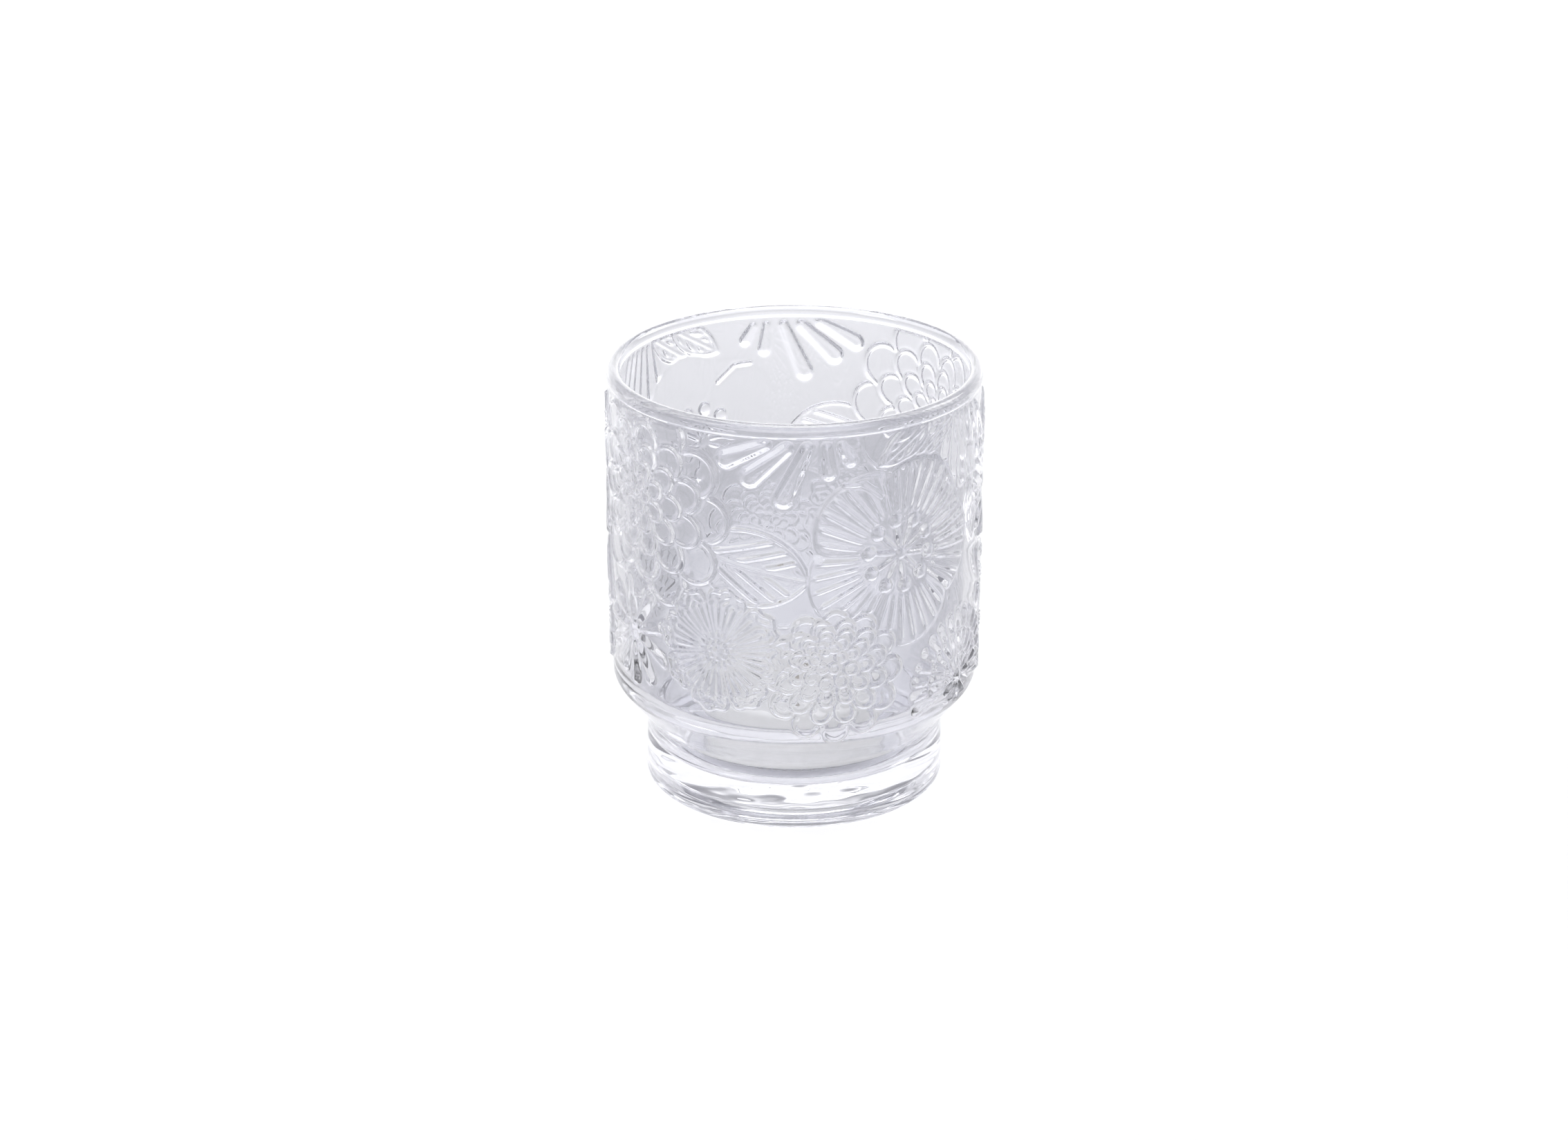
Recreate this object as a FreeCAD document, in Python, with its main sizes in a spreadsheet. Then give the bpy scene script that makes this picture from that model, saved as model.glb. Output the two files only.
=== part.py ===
import FreeCAD, Part
import os

import Sketcher

# Clear pressed-glass tealight holder with the tealight that stands loose in it.
# The origin is the centre of the standing ring, +Z runs up the axis, sizes in mm.
# The relief on the wall is carried here as the smooth cylinder that touches its crests.

DRIVING_SIZES = {
    # glass body, from the rim downwards
    "overall_height": 88.0,
    "rim_radius": 37.3,
    "wall": 2.8,
    "draft": 0.3,
    "relief_height": 0.6,
    "rim_band": 2.2,
    "band_step": 0.4,
    "shoulder_top": 23.6,
    "shoulder_drop": 9.6,
    "shoulder_blend": 1.5,
    "foot_radius": 30.3,
    "foot_corner": 1.0,
    "foot_land": 4.4,
    "recess_depth": 2.2,
    "recess_slope": 3.0,
    # cavity
    "bowl_top": 24.4,
    "bowl_blend": 5.0,
    "well_top": 14.8,
    "well_radius": 26.8,
    "well_blend": 2.5,
    "floor_level": 7.5,
    "floor_blend": 5.4,
    # tealight
    "cup_radius": 18.9,
    "cup_height": 16.0,
    "cup_wall": 0.5,
    "cup_flange": 0.6,
    "flange_depth": 0.8,
    "wax_depth": 12.5,
    "disc_radius": 6.4,
    "disc_thickness": 0.4,
    "neck_radius": 1.5,
    "neck_height": 3.2,
    "wick_radius": 0.9,
    "wick_above_wax": 7.0,
}

SHEET = "sizes"
FULL_TURN = 360.0
MATCH = 1e-4


def make_sheet(doc):
    sheet = doc.addObject("Spreadsheet::Sheet", SHEET)
    for row, (alias, value) in enumerate(DRIVING_SIZES.items(), start=1):
        sheet.set(f"A{row}", alias)
        sheet.set(f"B{row}", str(value))
        sheet.setAlias(f"B{row}", alias)
    doc.recompute()
    return sheet


def bound(expression):
    """Write an expression in the sheet's aliases as FreeCAD wants it."""
    words = expression.split()
    return " ".join(f"{SHEET}.{word}" if word in DRIVING_SIZES else word for word in words)


def origin_plane(body, role):
    for feature in body.Origin.OriginFeatures:
        if feature.Role == role:
            return feature
    raise ValueError(role)


def first_guess(expression):
    """Value of a sum of aliases, to draw the sketch near its final shape."""
    total = 0.0
    sign = 1.0
    for word in expression.split():
        if word in "+-":
            sign = 1.0 if word == "+" else -1.0
        else:
            total += sign * DRIVING_SIZES[word] if word in DRIVING_SIZES else sign * float(word)
    return total


def half_section(body, name, corners):
    """Closed polygon on the XZ plane; each corner is a pair of expressions (radius, height)."""
    sketch = body.newObject("Sketcher::SketchObject", name)
    sketch.AttachmentSupport = [(origin_plane(body, "XZ_Plane"), "")]
    sketch.MapMode = "FlatFace"
    places = [FreeCAD.Vector(first_guess(radius), first_guess(height), 0) for radius, height in corners]
    count = len(corners)
    for index in range(count):
        sketch.addGeometry(Part.LineSegment(places[index], places[(index + 1) % count]), False)
    for index in range(count):
        sketch.addConstraint(Sketcher.Constraint("Coincident", index, 2, (index + 1) % count, 1))
    for index, (radius, height) in enumerate(corners):
        place_corner(sketch, index, "DistanceX", radius, places[index].x)
        place_corner(sketch, index, "DistanceY", height, places[index].y)
    return sketch


def place_corner(sketch, index, kind, expression, value):
    """Tie one coordinate of a corner to the sheet, or to the axis where it is 0."""
    if expression == "0":
        axis = -2 if kind == "DistanceX" else -1
        sketch.addConstraint(Sketcher.Constraint("PointOnObject", index, 1, axis))
        return
    number = sketch.addConstraint(Sketcher.Constraint(kind, -1, 1, index, 1, value))
    sketch.setExpression(f"Constraints[{number}]", bound(expression))


def turned_body(doc, label, corners):
    """Body made by turning a half section about the vertical axis."""
    body = doc.addObject("PartDesign::Body", label)
    body.Label = label
    sketch = half_section(body, f"{label}_section", corners)
    turning = body.newObject("PartDesign::Revolution", f"{label}_turning")
    turning.Profile = sketch
    turning.ReferenceAxis = (sketch, ["V_Axis"])
    turning.Angle = FULL_TURN
    sketch.Visibility = False
    doc.recompute()
    return body


def ring_edge(shape, radius, height):
    """Name of the round edge with this radius at this height."""
    for number, edge in enumerate(shape.Edges, start=1):
        curve = edge.Curve
        if isinstance(curve, Part.Circle):
            if abs(curve.Radius - radius) < MATCH and abs(curve.Center.z - height) < MATCH:
                return f"Edge{number}"
    raise ValueError(f"no round edge of radius {radius} at height {height}")


def round_edges(doc, body, name, radius_expression, rings):
    """Fillet round edges, each given as a pair of expressions (radius, height)."""
    base = body.Tip
    places = [(first_guess(radius), first_guess(height)) for radius, height in rings]
    fillet = body.newObject("PartDesign::Fillet", name)
    fillet.Base = (base, [ring_edge(base.Shape, radius, height) for radius, height in places])
    fillet.setExpression("Radius", bound(radius_expression))
    doc.recompute()


def lift_to_floor(body):
    """Stand a tealight piece on the floor of the glass."""
    body.setExpression("Placement.Base.z", bound("floor_level"))


def make_glass_holder(doc):
    crest = "rim_radius + relief_height"
    band_foot = "overall_height - rim_band"
    relief_top = "overall_height - rim_band - band_step"
    foot_top = "shoulder_top - shoulder_drop"
    rim_bore = "rim_radius - wall"
    cavity_edge = "rim_radius - wall - draft"
    corners = [
        ("0", "recess_depth"),
        ("foot_radius - foot_land - recess_slope", "recess_depth"),
        ("foot_radius - foot_land", "0"),
        ("foot_radius", "0"),
        ("foot_radius", foot_top),
        (crest, "shoulder_top"),
        (crest, relief_top),
        ("rim_radius", band_foot),
        ("rim_radius", "overall_height"),
        (rim_bore, "overall_height"),
        (cavity_edge, "bowl_top"),
        ("well_radius", "well_top"),
        ("well_radius", "floor_level"),
        ("0", "floor_level"),
    ]
    body = turned_body(doc, "glass_holder", corners)
    round_edges(doc, body, "bowl_edge", "bowl_blend", [(cavity_edge, "bowl_top")])
    round_edges(doc, body, "well_edge", "well_blend", [("well_radius", "well_top")])
    round_edges(doc, body, "floor_edge", "floor_blend", [("well_radius", "floor_level")])
    round_edges(doc, body, "foot_edge", "foot_corner", [("foot_radius", "0")])
    round_edges(doc, body, "shoulder_edges", "shoulder_blend",
                [(crest, "shoulder_top"), ("foot_radius", foot_top)])
    round_edges(doc, body, "lip", "wall / 2 - 0.02",
                [("rim_radius", "overall_height"), (rim_bore, "overall_height")])
    return body


def make_tealight_cup(doc):
    flange_edge = "cup_radius + cup_flange"
    flange_foot = "cup_height - flange_depth"
    corners = [
        ("0", "0"),
        ("cup_radius", "0"),
        ("cup_radius", flange_foot),
        (flange_edge, flange_foot),
        (flange_edge, "cup_height"),
        ("cup_radius - cup_wall", "cup_height"),
        ("cup_radius - cup_wall", "cup_wall"),
        ("0", "cup_wall"),
    ]
    return turned_body(doc, "tealight_cup", corners)


def make_tealight_wax(doc):
    wax_edge = "cup_radius - cup_wall"
    wax_top = "cup_wall + wax_depth"
    neck_top = "cup_wall + neck_height"
    disc_top = "cup_wall + disc_thickness"
    corners = [
        ("disc_radius", "cup_wall"),
        (wax_edge, "cup_wall"),
        (wax_edge, wax_top),
        ("wick_radius", wax_top),
        ("wick_radius", neck_top),
        ("neck_radius", neck_top),
        ("neck_radius", disc_top),
        ("disc_radius", disc_top),
    ]
    return turned_body(doc, "tealight_wax", corners)


def make_wick_sustainer(doc):
    neck_top = "cup_wall + neck_height"
    disc_top = "cup_wall + disc_thickness"
    corners = [
        ("wick_radius", "cup_wall"),
        ("disc_radius", "cup_wall"),
        ("disc_radius", disc_top),
        ("neck_radius", disc_top),
        ("neck_radius", neck_top),
        ("wick_radius", neck_top),
    ]
    return turned_body(doc, "wick_sustainer", corners)


def make_wick(doc):
    wick_top = "cup_wall + wax_depth + wick_above_wax"
    corners = [
        ("0", "cup_wall"),
        ("wick_radius", "cup_wall"),
        ("wick_radius", wick_top),
        ("0", wick_top),
    ]
    return turned_body(doc, "wick", corners)


def check_document(doc, bodies):
    for item in doc.Objects:
        if "Invalid" in item.State or "Error" in item.State:
            raise RuntimeError(f"{item.Label} failed: {item.State}")
    for body in bodies:
        if body.Shape.isNull() or not body.Shape.isValid():
            raise RuntimeError(f"{body.Label} has no valid shape")


def write_parts(bodies):
    os.makedirs("parts", exist_ok=True)
    for body in bodies:
        body.Shape.exportStep(os.path.join("parts", f"{body.Label}.step"))
        box = body.Shape.BoundBox
        print(f"{body.Label}: {body.Shape.Volume / 1000:.2f} cm3, "
              f"radius {box.XMax:.2f}, z {box.ZMin:.2f} to {box.ZMax:.2f}")


def main():
    doc = FreeCAD.newDocument("tealight_holder")
    make_sheet(doc)
    glass = make_glass_holder(doc)
    tealight = [make_tealight_cup(doc), make_tealight_wax(doc), make_wick_sustainer(doc), make_wick(doc)]
    for body in tealight:
        lift_to_floor(body)
    doc.recompute()
    bodies = [glass] + tealight
    check_document(doc, bodies)
    write_parts(bodies)


main()
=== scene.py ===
import math

import bpy
import numpy as np
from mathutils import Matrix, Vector


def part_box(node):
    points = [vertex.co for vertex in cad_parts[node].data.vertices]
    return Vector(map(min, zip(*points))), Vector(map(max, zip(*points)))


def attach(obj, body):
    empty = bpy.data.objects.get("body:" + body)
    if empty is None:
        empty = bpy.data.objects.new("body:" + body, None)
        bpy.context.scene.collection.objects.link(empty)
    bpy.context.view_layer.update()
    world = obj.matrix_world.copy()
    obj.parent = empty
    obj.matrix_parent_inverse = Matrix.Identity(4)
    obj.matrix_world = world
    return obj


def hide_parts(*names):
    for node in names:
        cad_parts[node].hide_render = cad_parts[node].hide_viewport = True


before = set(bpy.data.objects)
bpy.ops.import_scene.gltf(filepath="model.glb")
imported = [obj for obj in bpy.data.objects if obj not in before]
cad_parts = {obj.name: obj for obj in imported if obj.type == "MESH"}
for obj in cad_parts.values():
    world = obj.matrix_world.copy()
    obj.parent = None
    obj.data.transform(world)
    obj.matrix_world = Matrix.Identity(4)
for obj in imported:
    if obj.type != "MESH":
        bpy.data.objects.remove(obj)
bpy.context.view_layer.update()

MM = 0.001

# ---------------------------------------------------------------- sizes, mm
glass_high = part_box("glass_holder")[1]
cup_low, cup_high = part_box("tealight_cup")
wax_low, wax_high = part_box("tealight_wax")
disc_low, disc_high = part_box("wick_sustainer")
wick_low, wick_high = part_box("wick")

# outside of the glass
HEIGHT = glass_high[2] / MM
CREST_RADIUS = glass_high[0] / MM
CREST_OVER_RIM = 0.6
RIM_RADIUS = CREST_RADIUS - CREST_OVER_RIM
BAND_FOOT = 85.8
SHOULDER_TOP = 23.6
SHOULDER_BLEND = 1.0
FOOT_TOP = 14.0
FOOT_BLEND = 2.0
FOOT_RADIUS = 30.3
FOOT_CORNER = 1.0
LAND_RADIUS = 25.9
LAND_CORNER = 0.8
RECESS_DEPTH = 2.2
RECESS_RADIUS = 22.9
RECESS_BLEND = 2.4
UNDERSIDE_WAVE = 0.08

# fine lines that the mould leaves round the foot
MOULD_LINES = (1.7, 3.2)
MOULD_LINE_HALF = 0.3
MOULD_LINE_DEPTH = 0.1

# inside of the glass
WALL = 2.8
DRAFT = 0.3
LIP_RADIUS = WALL / 2.0 - 0.05
BORE_RADIUS = RIM_RADIUS - WALL
CAVITY_RADIUS = BORE_RADIUS - DRAFT
BOWL_TOP = 24.4
BOWL_BLEND = 5.0
WELL_TOP = 14.8
WELL_BLEND = 2.5
WELL_RADIUS = 26.8
FLOOR_LEVEL = cup_low[2] / MM
FLOOR_BLEND = 4.6
FLOOR_WAVE = 0.03
FIRST_RING = 0.5

# relief: heights are measured from the plain wall
RELIEF = 0.9
WALL_RADIUS = CREST_RADIUS - RELIEF
RELIEF_LOW = 16.4
RELIEF_HIGH = 85.3
DEEPEST = -0.15
FIRE_POLISH = 0.17
FLOWER_TOP = 0.85
PETAL_SIDE = 1.2
PETAL_HOLLOW = 0.12
NEAR_PLATE = 0.42
NEAR_RIB = 0.48
FAR_PLATE = 0.06
FAR_RIB = 0.0
RIBS_PER_HALF = 4.0
RIB_HALF = 0.36
STAMENS = 10
FIRST_STAMEN = 63.0
SEEDS = 8

# tealight
CUP_WALL = 0.5
CUP_FLANGE = 0.6
WAX_CLIMB = 0.28
WAX_DIP = 0.22
WAX_RIPPLE = 0.035
SUSTAINER_THICKNESS = 0.3
STRANDS = 3
LAY_LENGTH = 3.4

# fineness of the meshes
GRID_STEP = 0.21
ROUND = 128
SMALL_ROUND = 64
STRAND_ROUND = 14

# table
TABLE_RINGS = (0.001, 60.0, 200.0, 550.0)
TABLE_ROUND = 96
TABLE_GAP = 0.02


# ---------------------------------------------------------------- shape helpers
def smooth_step(low, high, value):
    """Share from 0 at low to 1 at high, level at both ends; low may be the larger."""
    share = np.clip((value - low) / (high - low), 0.0, 1.0)
    return share * share * (3.0 - 2.0 * share)


def smooth_min(first, second, blend):
    """Smaller of two values, with the switch rounded over blend."""
    share = np.clip(0.5 + 0.5 * (second - first) / blend, 0.0, 1.0)
    return second * (1.0 - share) + first * share - blend * share * (1.0 - share)


def turned(x, y, angle):
    """Coordinates along and across a direction given in degrees."""
    cosine = math.cos(math.radians(angle))
    sine = math.sin(math.radians(angle))
    return x * cosine + y * sine, y * cosine - x * sine


def around(centre, radius, angle):
    """Place at a distance from a centre, in a direction given in degrees."""
    return (centre[0] + radius * math.cos(math.radians(angle)),
            centre[1] + radius * math.sin(math.radians(angle)))


def lens_depth(x, y, length, half_width):
    """Depth inside a leaf outline with its points at x = 0 and x = length."""
    radius = (length ** 2 / 4.0 + half_width ** 2) / (2.0 * half_width)
    return radius - np.hypot(x - length / 2.0, np.abs(y) + radius - half_width)


def oval_depth(x, y, half_length, half_width):
    """Depth inside an oval about the origin, in mm near its edge."""
    share = np.hypot(x / half_length, y / half_width)
    slope = np.hypot(x / half_length ** 2, y / half_width ** 2) / np.maximum(share, 0.2)
    return (1.0 - share) / np.maximum(slope, 1.0 / max(half_length, half_width))


def fan_depth(x, y, reach, half_angle):
    """Depth inside a broad petal that opens from the origin along +x."""
    radius = np.hypot(x, y)
    angle = np.arctan2(y, x)
    off = np.abs(angle) / half_angle
    tip = reach * (1.0 - 0.16 * np.minimum(off, 1.3) ** 2) - radius
    side = radius * np.sin(np.clip(half_angle - np.abs(angle), -1.5, 1.5))
    return smooth_min(tip, side, 2.2)


def bank(depth, top, width):
    """Height of a flat-topped shape whose sides slope evenly over width mm."""
    return top * np.clip(depth / width, 0.0, 1.0)


def ridge(depth, middle, half):
    """Rounded line that runs along an outline, middle mm inside it."""
    return np.exp(-((depth - middle) / half) ** 2)


# ---------------------------------------------------------------- pressed relief
class Relief:
    """Height of the pattern over one half turn of the wall, painted layer over layer."""

    EDGE = 0.16
    GROOVE = 0.12
    GROOVE_WIDTH = 0.4
    PAINTED = 0.02

    def __init__(self, radius, low, high, step):
        self.period = math.pi * radius
        self.columns = round(self.period / step)
        self.rows = round((high - low) / step) + 1
        self.across = np.arange(self.columns) * self.period / self.columns - self.period / 2.0
        self.up = np.linspace(low, high, self.rows)
        self.height = np.zeros((self.rows, self.columns))

    def window(self, place, reach):
        """Cells within reach of a place, with their distances from it across and up."""
        step = self.period / self.columns
        first = int(math.floor((place[0] - reach + self.period / 2.0) / step))
        count = min(int(2.0 * reach / step) + 2, self.columns)
        numbers = np.arange(first, first + count)
        x = numbers * step - self.period / 2.0 - place[0]
        rows = np.where(np.abs(self.up - place[1]) <= reach)[0]
        y = self.up[rows] - place[1]
        grid_x, grid_y = np.meshgrid(x, y)
        return np.ix_(rows, numbers % self.columns), grid_x, grid_y

    def paint(self, place, reach, outline, surface):
        """Lay a shape over what is there: outline gives depth inside it, surface its height."""
        cells, x, y = self.window(place, reach)
        depth = outline(x, y)
        cover = smooth_step(-self.EDGE, self.EDGE, depth)
        under = self.height[cells]
        groove = self.GROOVE * np.exp(-(depth / self.GROOVE_WIDTH) ** 2)
        under = under - groove * (under > self.PAINTED)
        self.height[cells] = under * (1.0 - cover) + surface(depth, x, y) * cover

    def soften(self, sigma):
        """Round every edge off a little, as fire polishing does."""
        step = self.period / self.columns
        half = max(1, int(3.0 * sigma / step))
        weights = np.exp(-0.5 * (np.arange(-half, half + 1) * step / sigma) ** 2)
        weights /= weights.sum()
        shifts = range(-half, half + 1)
        across = sum(w * np.roll(self.height, k, axis=1) for w, k in zip(weights, shifts))
        padded = np.pad(across, ((half, half), (0, 0)), mode="edge")
        self.height = sum(w * padded[k:k + self.rows] for k, w in enumerate(weights))


def petal(relief, root, tip, root_half, tip_half, top=0.9):
    """Long petal with rounded ends between two points, a little hollow along its middle."""
    length = math.dist(root, tip)
    angle = math.degrees(math.atan2(tip[1] - root[1], tip[0] - root[0]))
    widest = max(root_half, tip_half)
    side = min(PETAL_SIDE, 0.8 * widest)

    def outline(x, y):
        along, off = turned(x, y, angle)
        share = np.clip(along / length, 0.0, 1.0)
        return root_half + (tip_half - root_half) * share - np.hypot(along - share * length, off)

    def surface(depth, x, y):
        return bank(depth, top, side) - PETAL_HOLLOW * top * smooth_step(side, widest + 0.2, depth)

    relief.paint(root, length + widest + 1.0, outline, surface)


def ray_petals(relief, centre, angles, start, end, width):
    """Petals on the rays from a flower's centre, narrow at their roots."""
    root_half = 0.28 * width
    tip_half = 0.5 * width
    for angle in angles:
        root = around(centre, start + root_half, angle)
        tip = around(centre, end - tip_half, angle)
        petal(relief, root, tip, root_half, tip_half, FLOWER_TOP)


def scale_petal(relief, centre, angle, half_length, half_width):
    """Rounded petal of a dahlia: a low plate inside a raised outline."""
    size = min(half_length, half_width)
    border = min(0.75, 0.34 * size)

    def outline(x, y):
        along, off = turned(x, y, angle)
        return oval_depth(along, off, half_length, half_width)

    def surface(depth, x, y):
        raised = ridge(depth, border, 0.62 * border)
        return FLOWER_TOP * np.maximum(raised, 0.4 * smooth_step(0.0, 2.0 * border, depth))

    relief.paint(centre, 1.4 * max(half_length, half_width), outline, surface)


def dahlia(relief, centre, drift, rings):
    """Overlapping scales in rings; each ring is (radius, petal count, half length).

    The flower is seen a little from one side, so its outermost ring drifts off the centre.
    """
    largest = rings[0][0]
    for number, (radius, count, half_length) in enumerate(rings):
        share = radius / largest
        middle = (centre[0] + drift[0] * share, centre[1] + drift[1] * share)
        half_width = max(1.12 * math.pi * radius / count, 0.6)
        for index in range(count):
            angle = 360.0 * (index + 0.5 * (number % 2)) / count
            scale_petal(relief, around(middle, radius, angle), angle, half_length, half_width)


def bead(relief, centre, radius, top=0.8):
    """Round bead, steep at its edge."""
    def outline(x, y):
        return radius - np.hypot(x, y)

    def surface(depth, x, y):
        share = np.clip(depth / radius, 0.0, 1.0)
        return top * np.sqrt(1.0 - (1.0 - share) ** 2)

    relief.paint(centre, 2.0 * radius, outline, surface)


def anemone(relief, centre, reach, petal_angles, plate, rib):
    """Broad ribbed petals round a ring of stamens with ball ends."""
    half_angle = math.radians(39.0)

    for angle in petal_angles:
        def outline(x, y):
            along, off = turned(x, y, angle)
            return fan_depth(along, off, reach, half_angle)

        def surface(depth, x, y):
            along, off = turned(x, y, angle)
            radius = np.hypot(along, off)
            spread = np.arctan2(off, along) / half_angle
            from_rib = np.abs((spread * RIBS_PER_HALF + 0.5) % 1.0 - 0.5) / RIBS_PER_HALF
            ribs = np.exp(-(from_rib * half_angle * radius / RIB_HALF) ** 2)
            fade = smooth_step(0.40 * reach, 0.50 * reach, radius) * smooth_step(0.8, 2.2, depth)
            saucer = 0.10 + 0.90 * smooth_step(0.26 * reach, 0.46 * reach, radius)
            return bank(depth, plate, 0.8) * saucer + rib * ribs * fade

        relief.paint(centre, reach + 2.0, outline, surface)

    for index in range(STAMENS):
        place = around(centre, 0.345 * reach, FIRST_STAMEN + 360.0 * index / STAMENS)
        petal(relief, centre, place, 0.6, 0.5, 0.9)
        bead(relief, place, 1.5, 0.9)
    bead(relief, centre, 1.3, 0.9)


def frilled_flower(relief, centre, reach, count, turn, ball):
    """Fan petals with curled tips round a ball."""
    half_angle = math.pi / count * 1.12
    for index in range(count):
        angle = turn + 360.0 * index / count

        def outline(x, y):
            along, off = turned(x, y, angle)
            frill = 0.30 * np.cos(np.arctan2(off, along) * 22.0)
            return fan_depth(along, off, reach, half_angle) + frill

        def surface(depth, x, y):
            along, off = turned(x, y, angle)
            radius = np.hypot(along, off)
            spread = np.arctan2(off, along) / half_angle
            curls = np.cos(radius * 3.2 + np.sin(spread * 7.0) * 1.6) * np.cos(spread * 8.0)
            tips = smooth_step(0.66 * reach, 0.80 * reach, radius) * smooth_step(0.6, 1.4, depth)
            rays = np.cos(spread * math.pi * 2.5) ** 2
            middle = smooth_step(0.2 * reach, 0.4 * reach, radius) * smooth_step(0.5, 1.5, depth)
            plate = np.maximum(0.75 * ridge(depth, 0.6, 0.4), bank(depth, 0.32, 1.2))
            return plate + 0.30 * curls * tips + 0.44 * rays * middle * (1.0 - tips)

        relief.paint(centre, reach + 2.0, outline, surface)
    bead(relief, centre, ball, FLOWER_TOP)
    for index in range(SEEDS):
        bead(relief, around(centre, 0.70 * ball, 360.0 * index / SEEDS), 0.6, 0.9)


def leaf(relief, base, tip, half_width, veins):
    """Pointed leaf with a raised outline, a midrib and pairs of side veins."""
    length = math.dist(base, tip)
    angle = math.degrees(math.atan2(tip[1] - base[1], tip[0] - base[0]))

    def outline(x, y):
        along, off = turned(x, y, angle)
        return lens_depth(along, off, length, half_width)

    def surface(depth, x, y):
        along, off = turned(x, y, angle)
        height = np.maximum(bank(depth, 0.35, 1.0), 0.75 * ridge(depth, 0.6, 0.42))
        midrib = 0.65 * np.exp(-(off / 0.45) ** 2) * smooth_step(0.0, 1.0, depth)
        height = np.maximum(height, midrib)
        for index in range(veins):
            start = length * (0.10 + 0.70 * index / veins)
            slant = ((along - start) * 0.50 - np.abs(off)) * 0.89
            vein = 0.9 * np.exp(-(slant / 0.72) ** 2) * smooth_step(0.6, 1.6, depth)
            height = np.maximum(height, vein * smooth_step(0.4, 1.2, np.abs(off)))
        return height

    relief.paint(base, length + 1.0, outline, surface)


def raised_line(relief, points, half, top):
    """Raised line through a few points."""
    for start, end in zip(points, points[1:]):
        petal(relief, start, end, half, half, top)


def hanging_petals(relief, centre, level, rays, root_half):
    """Petals of a flower whose centre lies above the rim; each starts at one level."""
    for tip, tip_half in rays:
        share = (centre[1] - level) / (centre[1] - tip[1])
        root = (centre[0] + (tip[0] - centre[0]) * share, level)
        petal(relief, root, tip, root_half, tip_half)


def outer_radius(height):
    """Radius of the plain outside, up the slanted shoulder and round into the straight wall."""
    rise = SHOULDER_TOP - FOOT_TOP
    slant = FOOT_RADIUS + (height - FOOT_TOP) * (CREST_RADIUS - FOOT_RADIUS) / rise
    return smooth_min(slant, WALL_RADIUS, SHOULDER_BLEND)


def wall_pattern(relief, plate, rib):
    """Flowers and leaves of one half turn, back layer first.

    Places are (distance round the wall from its middle, height), both in mm. The two halves
    differ in the plates and ribs of the anemone.
    """
    # stretch that joins the two copies of the pattern
    leaf(relief, (47.0, 62.0), (60.0, 83.0), 4.6, 5)
    leaf(relief, (66.0, 40.0), (48.0, 52.0), 4.8, 5)
    joining_flower = (57.0, 64.0)
    ray_petals(relief, joining_flower, range(0, 360, 24), 2.4, 12.5, 3.2)
    bead(relief, joining_flower, 2.6)
    frilled_flower(relief, (56.0, 34.0), 10.0, 7, 10.0, 1.9)
    leaf(relief, (44.0, 55.0), (43.0, 70.0), 2.8, 4)

    # fan of narrow petals and two leaves under the rim, right
    fan = [((50.5, 76.0), 1.2), ((47.4, 73.0), 1.4), ((43.6, 71.0), 1.5), ((39.6, 70.0), 1.5),
           ((35.6, 70.4), 1.5), ((31.8, 72.4), 1.4)]
    hanging_petals(relief, (37.5, 97.0), 83.8, fan, 1.0)
    leaf(relief, (35.5, 86.0), (24.0, 78.4), 2.9, 3)
    leaf(relief, (29.5, 86.5), (16.3, 78.6), 3.4, 3)

    # half daisy that hangs from the rim
    petal(relief, (8.8, 83.5), (10.6, 80.6), 1.1, 1.5)
    petal(relief, (5.9, 83.5), (6.4, 78.4), 1.2, 1.7)
    petal(relief, (2.2, 83.5), (-2.2, 73.4), 1.4, 2.2)
    petal(relief, (-1.6, 83.5), (-8.6, 77.4), 1.5, 2.3)
    petal(relief, (-5.6, 84.2), (-13.4, 80.6), 1.4, 2.1)

    # two leaves in the middle
    leaf(relief, (14.0, 55.0), (2.0, 56.6), 5.0, 3)
    leaf(relief, (-21.0, 61.5), (3.2, 56.2), 8.2, 3)

    # large dahlia, left
    large_dahlia = (-36.0, 69.0)
    dahlia(relief, large_dahlia, (2.0, -1.5),
           ((16.4, 11, 5.2), (12.2, 11, 4.4), (8.6, 10, 3.6), (5.4, 8, 2.8), (2.7, 6, 1.9)))
    bead(relief, large_dahlia, 1.1)

    # flower with long petals, low left
    long_petalled = (-37.5, 39.0)
    directions = (-150, -118, -90, -60, -22, 20, 58, 100, 140, 178)
    ray_petals(relief, long_petalled, directions, 1.8, 12.0, 3.8)
    bead(relief, long_petalled, 2.2)

    # large flower of many narrow petals, low right
    narrow_petalled = (39.0, 28.5)
    ray_petals(relief, narrow_petalled, range(-14, 200, 13), 3.0, 14.8, 2.9)
    ray_petals(relief, narrow_petalled, range(-8, 200, 16), 2.4, 10.4, 2.6)
    ray_petals(relief, narrow_petalled, range(0, 360, 30), 0.8, 5.4, 2.0)
    bead(relief, narrow_petalled, 1.5)

    # anemone over the middle leaf, with the fold in one of its petals
    anemone(relief, (21.3, 60.0), 20.2, (209.0, 353.0, 281.0, 137.0, 65.0), plate, rib)
    raised_line(relief, ((9.4, 75.6), (13.0, 75.4), (17.0, 72.2)), 0.45, 0.7)

    # dahlia low in the middle, seen from above
    low_dahlia = (6.0, 41.4)
    dahlia(relief, low_dahlia, (1.8, -5.2),
           ((10.8, 12, 3.5), (8.6, 12, 3.0), (6.5, 11, 2.4), (4.5, 9, 1.9), (2.5, 6, 1.4)))
    bead(relief, low_dahlia, 0.8)

    # frilled flower, low left of the middle
    frilled_flower(relief, (-15.2, 40.8), 13.4, 8, 80.0, 2.4)


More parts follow.
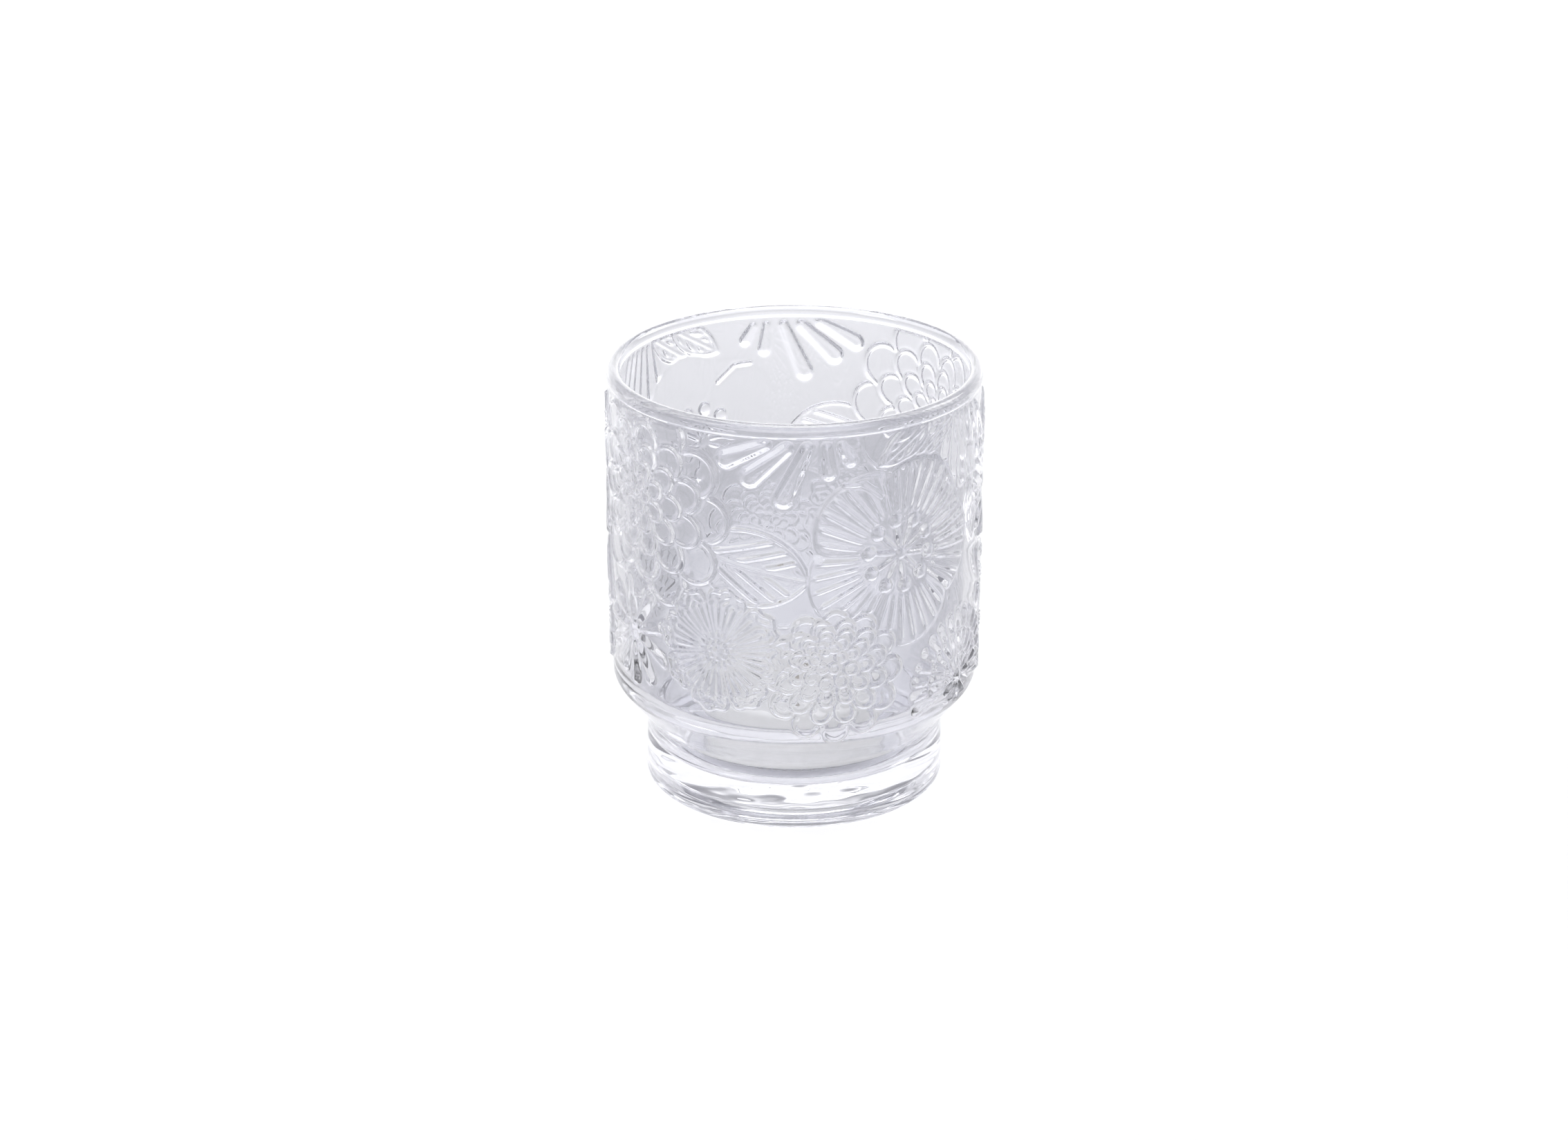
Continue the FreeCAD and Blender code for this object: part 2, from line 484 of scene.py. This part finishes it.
def add_wave(height, across, up, period):
    """Slow unevenness of a moulded wall; it closes on itself round the half turn."""
    turn = 2.0 * math.pi * across / period
    slow = np.sin(3.0 * turn + 0.11 * up) * np.cos(0.17 * up + 1.0)
    quick = np.sin(11.0 * turn - 0.31 * up) * np.sin(0.45 * up)
    return height + 0.018 * slow + 0.010 * quick


def pressed_relief(plate, rib):
    """Finished height map of one half turn; it fades out at its lower and upper ends."""
    relief = Relief(WALL_RADIUS, RELIEF_LOW, RELIEF_HIGH, GRID_STEP)
    wall_pattern(relief, plate, rib)
    relief.soften(FIRE_POLISH)
    up = relief.up[:, None]
    lower_end = smooth_step(RELIEF_LOW, RELIEF_LOW + 2.0, up)
    upper_end = smooth_step(RELIEF_HIGH, RELIEF_HIGH - 0.8, up)
    waved = add_wave(relief.height, relief.across[None, :], up, relief.period)
    relief.height = np.clip(waved * (lower_end * upper_end), DEEPEST, RELIEF)
    return relief


# ---------------------------------------------------------------- meshes
def mesh_object(name, vertices, faces):
    mesh = bpy.data.meshes.new(name)
    mesh.from_pydata(vertices, [], faces)
    mesh.update()
    item = bpy.data.objects.new(name, mesh)
    bpy.context.scene.collection.objects.link(item)
    mesh.polygons.foreach_set("use_smooth", [True] * len(mesh.polygons))
    return item


def rings_object(name, rings, close_ends=True):
    """Skin over rings of equal point count; a pole closes each end, unless told otherwise."""
    count = rings[0].shape[0]
    points = np.concatenate(rings, axis=0)
    total = len(rings)
    lower = np.arange(total - 1)[:, None] * count
    step = np.arange(count)[None, :]
    following = (step + 1) % count
    upper = lower + count
    corners = [lower + step, lower + following, upper + following, upper + step]
    faces = np.stack(corners, axis=-1).reshape(-1, 4).tolist()
    if close_ends:
        first = len(points)
        poles = np.array([rings[0].mean(axis=0), rings[-1].mean(axis=0)])
        points = np.concatenate([points, poles], axis=0)
        top = (total - 1) * count
        for index in range(count):
            after = (index + 1) % count
            faces.append([first, after, index])
            faces.append([first + 1, top + index, top + after])
    return mesh_object(name, (points * MM).tolist(), faces)


def arc(centre, radius, start, end, steps):
    """Points on an arc in the (radius, height) plane, angles in degrees."""
    angles = np.radians(np.linspace(start, end, steps + 1))
    return [(centre[0] + radius * math.cos(a), centre[1] + radius * math.sin(a)) for a in angles]


def rounded_corner(before, corner, after, radius, steps):
    """Arc that rounds a corner of a section."""
    before, corner, after = np.array(before), np.array(corner), np.array(after)
    to_before = (before - corner) / np.linalg.norm(before - corner)
    to_after = (after - corner) / np.linalg.norm(after - corner)
    half = 0.5 * math.acos(float(np.clip(to_before @ to_after, -1.0, 1.0)))
    start = corner + to_before * radius / math.tan(half)
    end = corner + to_after * radius / math.tan(half)
    bisector = (to_before + to_after) / np.linalg.norm(to_before + to_after)
    centre = corner + bisector * radius / math.sin(half)
    first = math.atan2(*(start - centre)[::-1])
    last = math.atan2(*(end - centre)[::-1])
    turn = (last - first + math.pi) % (2.0 * math.pi) - math.pi
    angles = [first + turn * k / steps for k in range(steps + 1)]
    return [(centre[0] + radius * math.cos(a), centre[1] + radius * math.sin(a)) for a in angles]


def along_line(start, end, steps):
    """Points strictly between two points of a section."""
    run = end[0] - start[0]
    rise = end[1] - start[1]
    return [(start[0] + run * k / steps, start[1] + rise * k / steps) for k in range(1, steps)]


def turned_ring(radius, height, angles):
    """Ring about the axis; angle 0 is the front, -Y."""
    radius = np.broadcast_to(radius, angles.shape)
    level = np.full(angles.shape, height)
    return np.stack([radius * np.sin(angles), -radius * np.cos(angles), level], axis=-1)


def round_angles(count):
    return np.arange(count) * 2.0 * math.pi / count


def glass_section_below():
    """Section from the middle of the underside out and up to the foot of the relief."""
    middle = (FIRST_RING, RECESS_DEPTH)
    recess_edge = (RECESS_RADIUS, RECESS_DEPTH)
    land_edge = (LAND_RADIUS, 0.0)
    foot_edge = (FOOT_RADIUS, 0.0)
    foot_top = (FOOT_RADIUS, FOOT_TOP)
    shoulder = (CREST_RADIUS, SHOULDER_TOP)
    section = [middle] + along_line(middle, recess_edge, 12)
    section += rounded_corner(middle, recess_edge, land_edge, RECESS_BLEND, 8)
    section += rounded_corner(recess_edge, land_edge, foot_edge, LAND_CORNER, 6)
    section += rounded_corner(land_edge, foot_edge, foot_top, FOOT_CORNER, 8)
    for level in MOULD_LINES:
        section.append((FOOT_RADIUS, level - MOULD_LINE_HALF))
        section.append((FOOT_RADIUS - MOULD_LINE_DEPTH, level))
        section.append((FOOT_RADIUS, level + MOULD_LINE_HALF))
    last_line = (FOOT_RADIUS, MOULD_LINES[-1] + MOULD_LINE_HALF)
    section += along_line(last_line, (FOOT_RADIUS, FOOT_TOP - 1.2), 10)
    section += rounded_corner(foot_edge, foot_top, shoulder, FOOT_BLEND, 8)
    return section


def glass_section_above():
    """Section from the top of the relief over the rim to the middle of the cavity floor."""
    middle = (FIRST_RING, FLOOR_LEVEL)
    lip_level = HEIGHT - LIP_RADIUS
    wall_foot = (CAVITY_RADIUS, BOWL_TOP)
    well_edge = (WELL_RADIUS, WELL_TOP)
    floor_edge = (WELL_RADIUS, FLOOR_LEVEL)
    section = along_line((WALL_RADIUS, RELIEF_HIGH), (RIM_RADIUS, BAND_FOOT), 4)
    section += along_line((RIM_RADIUS, BAND_FOOT - 0.1), (RIM_RADIUS, lip_level), 4)
    section += arc((RIM_RADIUS - LIP_RADIUS, lip_level), LIP_RADIUS, 0.0, 90.0, 10)
    section += arc((BORE_RADIUS + LIP_RADIUS, lip_level), LIP_RADIUS, 90.0, 180.0, 10)
    section += along_line((BORE_RADIUS, lip_level), (CAVITY_RADIUS, BOWL_TOP + 4.0), 36)
    section += rounded_corner((BORE_RADIUS, HEIGHT), wall_foot, well_edge, BOWL_BLEND, 10)
    section += along_line(wall_foot, well_edge, 6)[1:-1]
    section += rounded_corner(wall_foot, well_edge, floor_edge, WELL_BLEND, 8)
    section += rounded_corner(well_edge, floor_edge, (0.0, FLOOR_LEVEL), FLOOR_BLEND, 12)
    section += along_line((WELL_RADIUS - FLOOR_BLEND, FLOOR_LEVEL), middle, 10)
    section += [middle]
    return section


def uneven_ring(radius, height, angles, amount):
    """Ring of a pressed face that isn't quite flat."""
    ring = turned_ring(radius, height, angles)
    x, y = ring[:, 0], ring[:, 1]
    slow = np.sin(0.21 * x + 0.9) * np.cos(0.26 * y - 0.4)
    quick = np.sin(0.62 * x - 0.23 * y) * np.cos(0.55 * y + 0.31 * x + 1.3)
    ring[:, 2] += amount * (slow + 0.6 * quick) * smooth_step(0.0, 4.0, radius)
    return ring


def strength_of_back(angles, height):
    """Share of the relief's height: the far half is pressed shallower below its middle."""
    back = smooth_step(0.15, 0.55, -np.cos(angles))
    return 1.0 - 0.45 * back * (1.0 - smooth_step(58.0, 66.0, height))


def make_glass():
    """One closed skin: underside, foot, shoulder, relief wall, rim and cavity."""
    relief = pressed_relief(NEAR_PLATE, NEAR_RIB)
    far_relief = pressed_relief(FAR_PLATE, FAR_RIB)
    columns = 2 * relief.columns
    angles = round_angles(columns) - math.pi / 2.0
    rings = []
    for radius, height in glass_section_below():
        flat = height > RECESS_DEPTH - 0.3 and radius < RECESS_RADIUS - 1.0
        rings.append(uneven_ring(radius, height, angles, UNDERSIDE_WAVE if flat else 0.0))
    for row, height in enumerate(relief.up):
        both_halves = np.concatenate([relief.height[row], far_relief.height[row]])
        both_halves *= strength_of_back(angles, height)
        rings.append(turned_ring(outer_radius(height) + both_halves, height, angles))
    for radius, height in glass_section_above():
        flat = radius < WELL_RADIUS - 3.0
        rings.append(uneven_ring(radius, height, angles, FLOOR_WAVE if flat else 0.0))
    glass = rings_object("pressed_glass", rings)
    glass.data.materials.append(glass_material())
    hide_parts("glass_holder")
    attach(glass, "holder")


def make_cup():
    """Thin clear cup with a standing ring and a rolled flange."""
    low = cup_low[2] / MM
    high = cup_high[2] / MM
    flange = cup_high[0] / MM
    outer = flange - CUP_FLANGE
    inner = outer - CUP_WALL
    floor = low + CUP_WALL
    raised = low + 0.25
    standing = low + 0.06
    section = [(0.3, raised), (outer - 2.4, raised), (outer - 1.9, standing), (outer - 0.9, standing)]
    section += rounded_corner((0.0, standing), (outer, standing), (outer, high), 0.7, 6)
    section += along_line((outer, low + 1.0), (outer, high - 0.9), 8)
    section += [(outer, high - 0.8)]
    section += arc((flange - 0.35, high - 0.4), 0.35, -90.0, 90.0, 8)
    section += arc((inner + 0.2, high - 0.25), 0.2, 90.0, 180.0, 4)
    section += along_line((inner, high - 0.3), (inner, floor + 0.6), 8)
    section += rounded_corner((inner, high), (inner, floor), (0.0, floor), 0.5, 5)
    section += [(0.3, floor)]
    angles = round_angles(ROUND)
    cup = rings_object("clear_cup", [turned_ring(radius, height, angles) for radius, height in section])
    cup.data.materials.append(cup_material())
    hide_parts("tealight_cup")
    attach(cup, "tealight")


def make_wax():
    """Poured wax: it climbs a little at the cup wall and dips towards the wick."""
    low = wax_low[2] / MM + 0.03
    high = wax_high[2] / MM
    edge = wax_high[0] / MM - 0.04
    bore = wick_high[0] / MM + 0.03
    neck = bore + 0.7
    neck_top = low + 3.2
    disc = disc_high[0] / MM + 0.05
    disc_top = low + 0.5
    angles = round_angles(ROUND)
    section = [(bore, neck_top), (neck, neck_top), (neck, disc_top), (disc, disc_top), (disc, low)]
    section.append((edge - 0.6, low))
    section += rounded_corner((0.0, low), (edge, low), (edge, high), 0.6, 5)
    section += along_line((edge, low + 1.0), (edge, high), 6)
    rings = [turned_ring(radius, height, angles) for radius, height in section]
    steps = 40
    for index in range(steps + 1):
        radius = edge - (edge - bore) * index / steps
        climb = WAX_CLIMB * math.exp(-(edge - radius) / 0.6)
        dip = WAX_DIP * math.exp(-((radius - bore) / 3.0) ** 2)
        ripple = WAX_RIPPLE * np.sin(5.0 * angles + 0.7 * radius) * math.sin(0.9 * radius)
        ring = turned_ring(radius, high - 0.30, angles)
        ring[:, 2] += climb - dip + ripple * smooth_step(0.0, 2.0, edge - radius)
        rings.append(ring)
    rings.append(rings[0].copy())
    wax = rings_object("poured_wax", rings, close_ends=False)
    wax.data.materials.append(wax_material())
    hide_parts("tealight_wax")
    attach(wax, "tealight")


def make_sustainer():
    """Stamped disc with a pressed ring and a neck pinched round the wick."""
    low = disc_low[2] / MM + 0.02
    edge = disc_high[0] / MM
    neck_top = disc_high[2] / MM
    bore = wick_high[0] / MM + 0.02
    under = low + 0.02
    pressed_under = low + 0.12
    top = under + SUSTAINER_THICKNESS
    pressed_top = low + 0.40
    curl = SUSTAINER_THICKNESS / 2.0
    section = [(bore, under), (3.4, under), (3.8, pressed_under), (4.6, pressed_under), (5.0, under)]
    section.append((edge - 0.1, low))
    section += arc((edge - curl, low + curl), curl, -90.0, 90.0, 5)
    section += [(5.0, top), (4.6, pressed_top), (3.8, pressed_top), (3.4, top), (2.2, top)]
    section += arc((2.1, top + 0.6), 0.6, -90.0, -180.0, 5)
    section += [(1.45, neck_top - 0.5), (1.3, neck_top - 0.05)]
    section += [(bore + 0.1, neck_top), (bore, neck_top - 0.1)]
    angles = round_angles(SMALL_ROUND)
    rings = [turned_ring(radius, height, angles) for radius, height in section]
    rings.append(rings[0].copy())
    disc = rings_object("stamped_sustainer", rings, close_ends=False)
    disc.data.materials.append(metal_material())
    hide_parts("wick_sustainer")
    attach(disc, "tealight")


def strand_rings(phase, low, high, orbit, radius, steps):
    """One twisted strand of the wick as rings square to its path."""
    rings = []
    angles = round_angles(STRAND_ROUND)
    for index in range(steps + 1):
        share = index / steps
        height = low + (high - low) * share
        turn = phase + 2.0 * math.pi * (height - low) / LAY_LENGTH
        side = np.array([math.cos(turn), math.sin(turn), 0.0])
        centre = orbit * side + np.array([0.0, 0.0, height])
        climb = LAY_LENGTH / (2.0 * math.pi)
        tangent = np.array([-orbit * math.sin(turn), orbit * math.cos(turn), climb])
        tangent /= np.linalg.norm(tangent)
        other = np.cross(tangent, side)
        ribs = radius * (1.0 + 0.07 * np.cos(5.0 * angles + 9.0 * turn))
        taper = 1.0 - 0.35 * smooth_step(0.94, 1.0, share)
        spokes = np.cos(angles)[:, None] * side + np.sin(angles)[:, None] * other
        rings.append(centre + taper * ribs[:, None] * spokes)
    return rings


def make_wick():
    """Three strands twisted together."""
    low = wick_low[2] / MM + 0.02
    high = wick_high[2] / MM
    reach = wick_high[0] / MM
    radius = 0.46 * reach
    orbit = reach - 1.08 * radius
    cotton = cotton_material()
    for number in range(STRANDS):
        rings = strand_rings(2.0 * math.pi * number / STRANDS, low, high, orbit, radius, 120)
        strand = rings_object(f"wick_strand_{number}", rings)
        strand.data.materials.append(cotton)
        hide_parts("wick")
        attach(strand, "tealight")


# ---------------------------------------------------------------- materials
def new_material(name):
    """Material with its nodes, links and surface shader."""
    material = bpy.data.materials.new(name)
    material.use_nodes = True
    nodes = material.node_tree.nodes
    shader = next(node for node in nodes if node.type == "BSDF_PRINCIPLED")
    return material, nodes, material.node_tree.links, shader


def noise_bump(nodes, links, shader, scale, detail, strength, distance):
    """Fine unevenness from procedural noise."""
    place = nodes.new("ShaderNodeTexCoord")
    noise = nodes.new("ShaderNodeTexNoise")
    noise.inputs["Scale"].default_value = scale
    noise.inputs["Detail"].default_value = detail
    bump = nodes.new("ShaderNodeBump")
    bump.inputs["Strength"].default_value = strength
    bump.inputs["Distance"].default_value = distance
    links.new(place.outputs["Object"], noise.inputs["Vector"])
    links.new(noise.outputs["Fac"], bump.inputs["Height"])
    links.new(bump.outputs["Normal"], shader.inputs["Normal"])
    return noise


def tone_ramp(nodes, stops):
    """Colour ramp through stops, each a position and a colour."""
    ramp = nodes.new("ShaderNodeValToRGB")
    elements = ramp.color_ramp.elements
    elements[0].position, elements[0].color = stops[0][0], (*stops[0][1], 1.0)
    elements[1].position, elements[1].color = stops[-1][0], (*stops[-1][1], 1.0)
    for position, tone in stops[1:-1]:
        elements.new(position).color = (*tone, 1.0)
    return ramp


def noise_colour(nodes, links, shader, noise, stops):
    """Colour that follows the noise through a ramp."""
    ramp = tone_ramp(nodes, stops)
    links.new(noise.outputs["Fac"], ramp.inputs["Fac"])
    links.new(ramp.outputs["Color"], shader.inputs["Base Color"])


def let_lamps_through(nodes, links, shader, tint):
    """Lamps light what stands behind or inside the clear piece."""
    path = nodes.new("ShaderNodeLightPath")
    clear = nodes.new("ShaderNodeBsdfTransparent")
    clear.inputs["Color"].default_value = tint
    mix = nodes.new("ShaderNodeMixShader")
    output = next(node for node in nodes if node.type == "OUTPUT_MATERIAL")
    links.new(path.outputs["Is Shadow Ray"], mix.inputs[0])
    links.new(shader.outputs["BSDF"], mix.inputs[1])
    links.new(clear.outputs["BSDF"], mix.inputs[2])
    links.new(mix.outputs["Shader"], output.inputs["Surface"])


def glass_material():
    material, nodes, links, shader = new_material("clear_pressed_glass")
    shader.inputs["Base Color"].default_value = (0.682, 0.684, 0.714, 1.0)
    shader.inputs["Transmission Weight"].default_value = 1.0
    shader.inputs["IOR"].default_value = 1.5
    shader.inputs["Roughness"].default_value = 0.0
    noise_bump(nodes, links, shader, 180.0, 1.0, 0.04, 0.0002)
    let_lamps_through(nodes, links, shader, (0.96, 0.96, 0.97, 1.0))
    return material


def cup_material():
    material, nodes, links, shader = new_material("clear_cup_plastic")
    shader.inputs["Base Color"].default_value = (1.0, 1.0, 1.0, 1.0)
    shader.inputs["Transmission Weight"].default_value = 1.0
    shader.inputs["IOR"].default_value = 1.45
    shader.inputs["Roughness"].default_value = 0.02
    noise_bump(nodes, links, shader, 400.0, 1.0, 0.05, 0.0001)
    let_lamps_through(nodes, links, shader, (0.98, 0.98, 0.98, 1.0))
    return material


def wax_material():
    material, nodes, links, shader = new_material("white_wax")
    noise = noise_bump(nodes, links, shader, 900.0, 4.0, 0.18, 0.0002)
    noise_colour(nodes, links, shader, noise, ((0.3, (0.59, 0.59, 0.585)), (0.7, (0.67, 0.67, 0.665))))
    shader.inputs["Roughness"].default_value = 0.48
    shader.inputs["Transmission Weight"].default_value = 0.25
    shader.inputs["IOR"].default_value = 1.44
    # painted glow: emission that lightens the shaded upright sides of the wax
    painted_side_glow(nodes, links, shader, 0.40)
    let_lamps_through(nodes, links, shader, (0.85, 0.85, 0.86, 1.0))
    return material


def painted_side_glow(nodes, links, shader, strength):
    """Painted glow: an emission, full on the upright sides of the wax and none on level faces, lightens
    sides that lie in shade; it stands in for light that enters the top of the wax and leaves through
    its upright sides.
    """
    shape = nodes.new("ShaderNodeNewGeometry")
    split = nodes.new("ShaderNodeSeparateXYZ")
    levelness = nodes.new("ShaderNodeMath")
    levelness.operation = "ABSOLUTE"
    glow = nodes.new("ShaderNodeMapRange")
    glow.inputs["To Min"].default_value = strength
    glow.inputs["To Max"].default_value = 0.0
    links.new(shape.outputs["True Normal"], split.inputs["Vector"])
    links.new(split.outputs["Z"], levelness.inputs[0])
    links.new(levelness.outputs["Value"], glow.inputs["Value"])
    links.new(glow.outputs["Result"], shader.inputs["Emission Strength"])
    shader.inputs["Emission Color"].default_value = (1.0, 1.0, 0.99, 1.0)


def metal_material():
    material, nodes, links, shader = new_material("tinned_steel")
    noise = noise_bump(nodes, links, shader, 1400.0, 3.0, 0.12, 0.0001)
    noise_colour(nodes, links, shader, noise, ((0.0, (0.62, 0.62, 0.64)), (1.0, (0.76, 0.76, 0.77))))
    shader.inputs["Metallic"].default_value = 1.0
    shader.inputs["Roughness"].default_value = 0.32
    return material


def cotton_material():
    material, nodes, links, shader = new_material("waxed_cotton")
    noise = noise_bump(nodes, links, shader, 5200.0, 5.0, 0.5, 0.0001)
    noise_colour(nodes, links, shader, noise, ((0.0, (0.50, 0.47, 0.42)), (1.0, (0.68, 0.65, 0.59))))
    shader.inputs["Roughness"].default_value = 0.75
    shader.inputs["Sheen Weight"].default_value = 0.3
    return material


def blended(nodes, links, kind, first, second):
    """Two colours blended in full; gives back the sockets of the share and of the result."""
    mix = nodes.new("ShaderNodeMix")
    mix.data_type = "RGBA"
    mix.blend_type = kind
    mix.inputs["Factor"].default_value = 1.0
    colours = [socket for socket in mix.inputs if socket.type == "RGBA"]
    links.new(first, colours[0])
    links.new(second, colours[1])
    result = next(socket for socket in mix.outputs if socket.type == "RGBA")
    return mix.inputs["Factor"], result


def spread_from(nodes, links, centre, scale):
    """Distance from a place on the table, squeezed along the axes."""
    place = nodes.new("ShaderNodeTexCoord")
    shift = nodes.new("ShaderNodeVectorMath")
    shift.operation = "SUBTRACT"
    shift.inputs[1].default_value = centre
    squeeze = nodes.new("ShaderNodeVectorMath")
    squeeze.operation = "MULTIPLY"
    squeeze.inputs[1].default_value = scale
    length = nodes.new("ShaderNodeVectorMath")
    length.operation = "LENGTH"
    links.new(place.outputs["Object"], shift.inputs[0])
    links.new(shift.outputs["Vector"], squeeze.inputs[0])
    links.new(squeeze.outputs["Vector"], length.inputs[0])
    return length.outputs["Value"]


def floor_material():
    """Pale table with painted light in its colour: a painted strip of light behind the object, and a
    far field painted lighter than the table near the object.
    """
    material, nodes, links, shader = new_material("pale_table")
    noise_bump(nodes, links, shader, 30.0, 2.0, 0.02, 0.0005)
    near_tone = (0.67, 0.67, 0.667)
    middle_tone = (0.73, 0.73, 0.725)
    painted_light_far_tone = (0.96, 0.96, 0.955)
    # painted light: the table's colour rises from 0.67 near the object to 0.96 in the far field
    painted_light_field = tone_ramp(nodes, ((0.16, near_tone), (0.20, middle_tone), (0.42, painted_light_far_tone)))
    # painted pool of light: a bright oval strip behind the object, laid over the field where it is
    # lighter
    painted_light_strip = tone_ramp(nodes, ((0.45, (0.98, 0.98, 0.975)), (0.95, (0.5, 0.5, 0.5))))
    painted_light_strip_centre = (0.0, 0.075, 0.0)
    painted_light_strip_scale = (1.0 / 0.055, 1.0 / 0.135, 1.0)
    distance = spread_from(nodes, links, (0.0, 0.0, 0.0), (1.0, 1.0, 1.0))
    reach = spread_from(nodes, links, painted_light_strip_centre, painted_light_strip_scale)
    links.new(distance, painted_light_field.inputs["Fac"])
    links.new(reach, painted_light_strip.inputs["Fac"])
    _, painted_light_tone = blended(nodes, links, "LIGHTEN", painted_light_field.outputs["Color"], painted_light_strip.outputs["Color"])
    links.new(painted_light_tone, shader.inputs["Base Color"])
    shader.inputs["Roughness"].default_value = 0.9
    shader.inputs["Specular IOR Level"].default_value = 0.1
    return material


# ---------------------------------------------------------------- studio
THROUGH_GLASS_BOUNCES = 40
REFLECTED_BOUNCES = 18
DIFFUSE_BOUNCES = 6


def make_floor():
    """Round table just under the foot."""
    angles = round_angles(TABLE_ROUND)
    rings = [turned_ring(radius, -TABLE_GAP, angles) for radius in TABLE_RINGS]
    floor = rings_object("studio_floor", rings, close_ends=False)
    floor.data.materials.append(floor_material())


def make_world():
    """Bright walls before and behind the object, dim ones at its sides.

    Both ramps run over the height of a direction, from straight down at 0 to straight up at 1.
    """
    world = bpy.data.worlds.new("studio_air")
    bpy.context.scene.world = world
    world.use_nodes = True
    nodes = world.node_tree.nodes
    links = world.node_tree.links
    back = nodes["Background"]
    place = nodes.new("ShaderNodeTexCoord")
    split = nodes.new("ShaderNodeSeparateXYZ")
    links.new(place.outputs["Generated"], split.inputs["Vector"])
    level = nodes.new("ShaderNodeMath")
    level.operation = "MULTIPLY_ADD"
    level.inputs[1].default_value = 0.5
    level.inputs[2].default_value = 0.5
    links.new(split.outputs["Z"], level.inputs[0])
    square = nodes.new("ShaderNodeMath")
    square.operation = "MULTIPLY"
    links.new(split.outputs["Y"], square.inputs[0])
    links.new(split.outputs["Y"], square.inputs[1])
    sides = nodes.new("ShaderNodeMapRange")
    sides.inputs["From Min"].default_value = 0.35
    sides.inputs["From Max"].default_value = 0.82
    links.new(square.outputs["Value"], sides.inputs["Value"])
    ceiling = (1.0, (0.5, 0.5, 0.53))
    bright = tone_ramp(nodes, (
        (0.0, (0.8, 0.8, 0.82)),
        (0.40, (1.8, 1.8, 1.8)),
        (0.46, (2.5, 2.5, 2.5)),
        (0.66, (2.3, 2.3, 2.3)),
        (0.76, (0.6, 0.6, 0.63)),
        ceiling,
    ))
    dim = tone_ramp(nodes, (
        (0.0, (0.5, 0.5, 0.53)),
        (0.46, (0.45, 0.45, 0.49)),
        (0.52, (0.34, 0.34, 0.38)),
        (0.66, (0.30, 0.30, 0.34)),
        (0.80, (0.42, 0.42, 0.45)),
        ceiling,
    ))
    links.new(level.outputs["Value"], bright.inputs["Fac"])
    links.new(level.outputs["Value"], dim.inputs["Fac"])
    share, air = blended(nodes, links, "MIX", dim.outputs["Color"], bright.outputs["Color"])
    links.new(sides.outputs["Result"], share)
    links.new(air, back.inputs["Color"])
    back.inputs["Strength"].default_value = 1.0


def softbox(name, place, target, size, power):
    """Square lamp aimed at a point."""
    data = bpy.data.lights.new(name, "AREA")
    data.shape = "SQUARE"
    data.size = size
    data.energy = power
    lamp = bpy.data.objects.new(name, data)
    bpy.context.scene.collection.objects.link(lamp)
    aim(lamp, place, target)


def aim(item, place, target):
    """Put a lamp or camera in its place and turn it to face a point."""
    item.location = place
    item.rotation_euler = (Vector(target) - Vector(place)).to_track_quat("-Z", "Y").to_euler()


def make_lights():
    softbox("top_box", (0.0, 0.1, 1.2), (0.0, 0.0, 0.0), 0.9, 12.2)
    softbox("left_box", (-1.0, -0.5, 0.9), (0.0, 0.0, 0.04), 0.6, 4.7)
    softbox("right_box", (0.9, 0.6, 0.9), (0.0, 0.0, 0.04), 0.5, 3.7)


def make_camera():
    """Camera at the height and distance that give the rim and foot their roundness."""
    pitch = math.radians(22.67)
    distance = 0.6806
    target = (-0.0021, 0.0, 0.0434)
    data = bpy.data.cameras.new("view_camera")
    data.sensor_width = 36.0
    data.lens = 77.1
    data.clip_start = 0.01
    data.clip_end = 20.0
    camera = bpy.data.objects.new("view_camera", data)
    bpy.context.scene.collection.objects.link(camera)
    back = distance * math.cos(pitch)
    up = distance * math.sin(pitch)
    place = (target[0], target[1] - back, target[2] + up)
    aim(camera, place, target)
    bpy.context.scene.camera = camera


def set_look():
    """Plain view transform, and enough bounces for light to cross the pressed wall."""
    scene = bpy.context.scene
    scene.view_settings.view_transform = "Standard"
    scene.cycles.max_bounces = THROUGH_GLASS_BOUNCES
    scene.cycles.transmission_bounces = THROUGH_GLASS_BOUNCES
    scene.cycles.glossy_bounces = REFLECTED_BOUNCES
    scene.cycles.diffuse_bounces = DIFFUSE_BOUNCES


make_glass()
make_cup()
make_wax()
make_sustainer()
make_wick()
make_floor()
make_world()
make_lights()
make_camera()
set_look()
